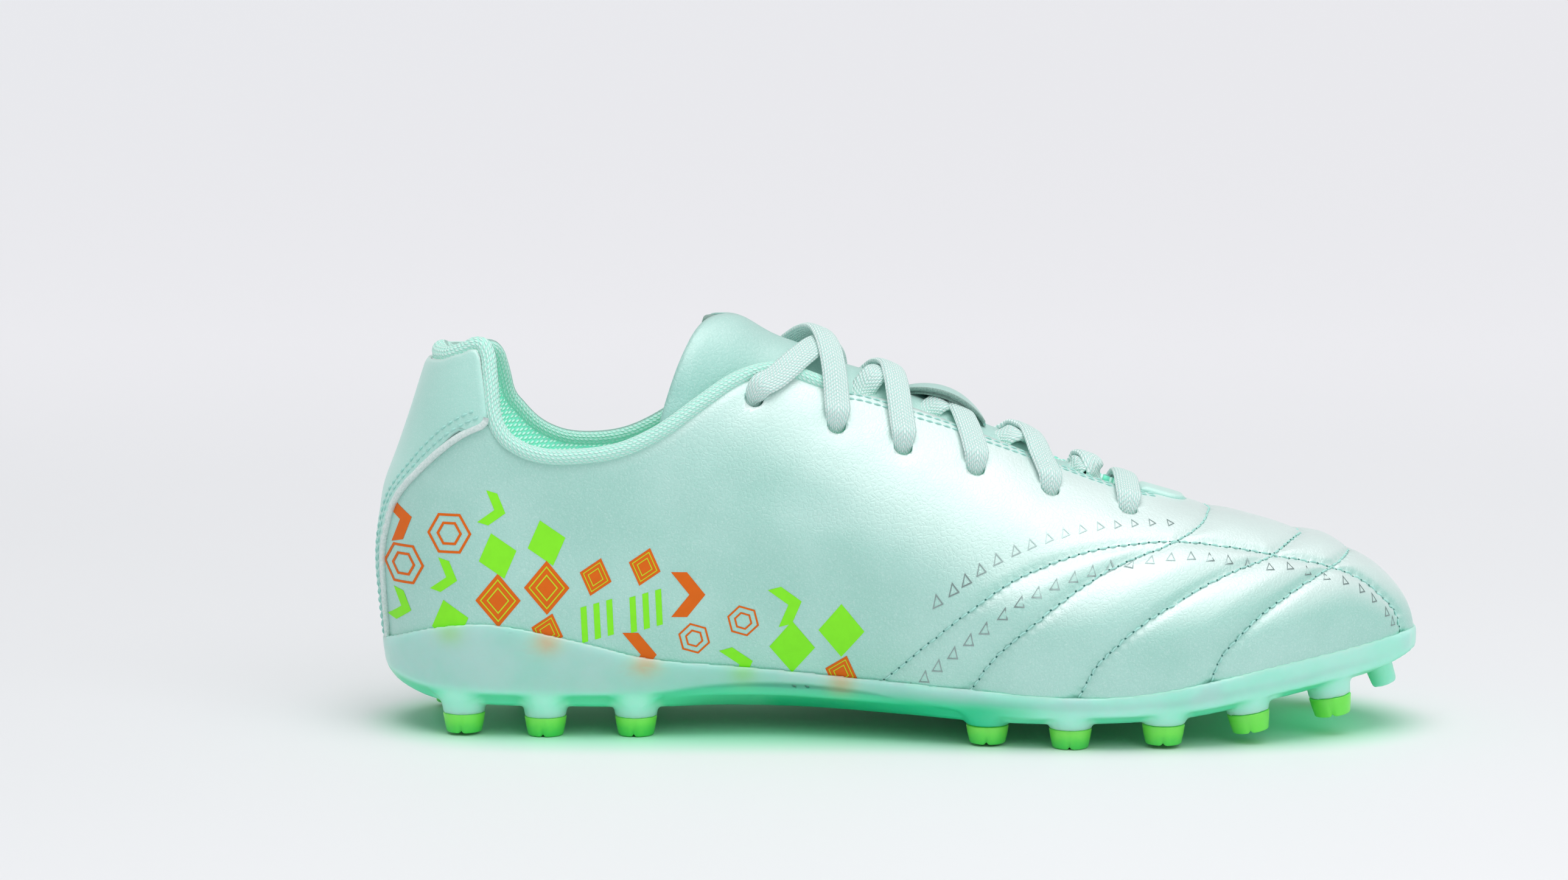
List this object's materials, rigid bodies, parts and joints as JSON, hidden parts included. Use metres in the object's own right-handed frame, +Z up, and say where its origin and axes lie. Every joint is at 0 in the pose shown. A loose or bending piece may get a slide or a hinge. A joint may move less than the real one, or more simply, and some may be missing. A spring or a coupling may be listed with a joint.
{
  "type": "football boot",
  "caption": "Low-cut studded football boot for the left foot: moulded sole with short round studs, quilted leather upper, knitted collar roll, laced tongue.",
  "frame": {"origin": "on the ground plane, under the centre of the overall box", "axes": "+X from heel to toe, +Y towards the outer side of the foot, +Z up"},
  "size_m": [0.2672, 0.0922, 0.1035],
  "materials": {
    "sole": "cloudy mint moulded plastic, half see-through, satin",
    "stud_tip": "cloudy bright green moulded plastic",
    "upper": "fine-grained synthetic leather, pale mint with a pearl sheen",
    "heel_counter": "smoother matt synthetic leather, pale mint",
    "knit": "coarse knitted mesh, mint",
    "tongue": "fine-grained synthetic leather, pale mint",
    "insole": "flat woven cover, mint",
    "lace": "flat braid, pale mint"
  },
  "bodies": {
    "root": {"outsole": "sole", "stud_tip_heel_inner_1": "stud_tip", "stud_tip_heel_inner_2": "stud_tip", "stud_tip_heel_inner_3": "stud_tip", "stud_tip_heel_outer_1": "stud_tip", "stud_tip_heel_outer_2": "stud_tip", "stud_tip_heel_outer_3": "stud_tip", "stud_tip_front_inner_1": "stud_tip", "stud_tip_front_inner_2": "stud_tip", "stud_tip_front_inner_3": "stud_tip", "stud_tip_front_inner_4": "stud_tip", "stud_tip_front_inner_5": "stud_tip", "stud_tip_front_outer_1": "stud_tip", "stud_tip_front_outer_2": "stud_tip", "stud_tip_front_outer_3": "stud_tip", "stud_tip_front_outer_4": "stud_tip", "stud_tip_front_outer_5": "stud_tip", "upper": "upper", "heel_counter": "heel_counter", "collar_binding": "knit", "tongue": "tongue", "insole": "insole", "lace_pass_1": "lace", "lace_pass_2": "lace", "lace_pass_3": "lace", "lace_pass_4": "lace", "lace_pass_5": "lace", "lace_pass_6": "lace"}
  },
  "joints": []
}
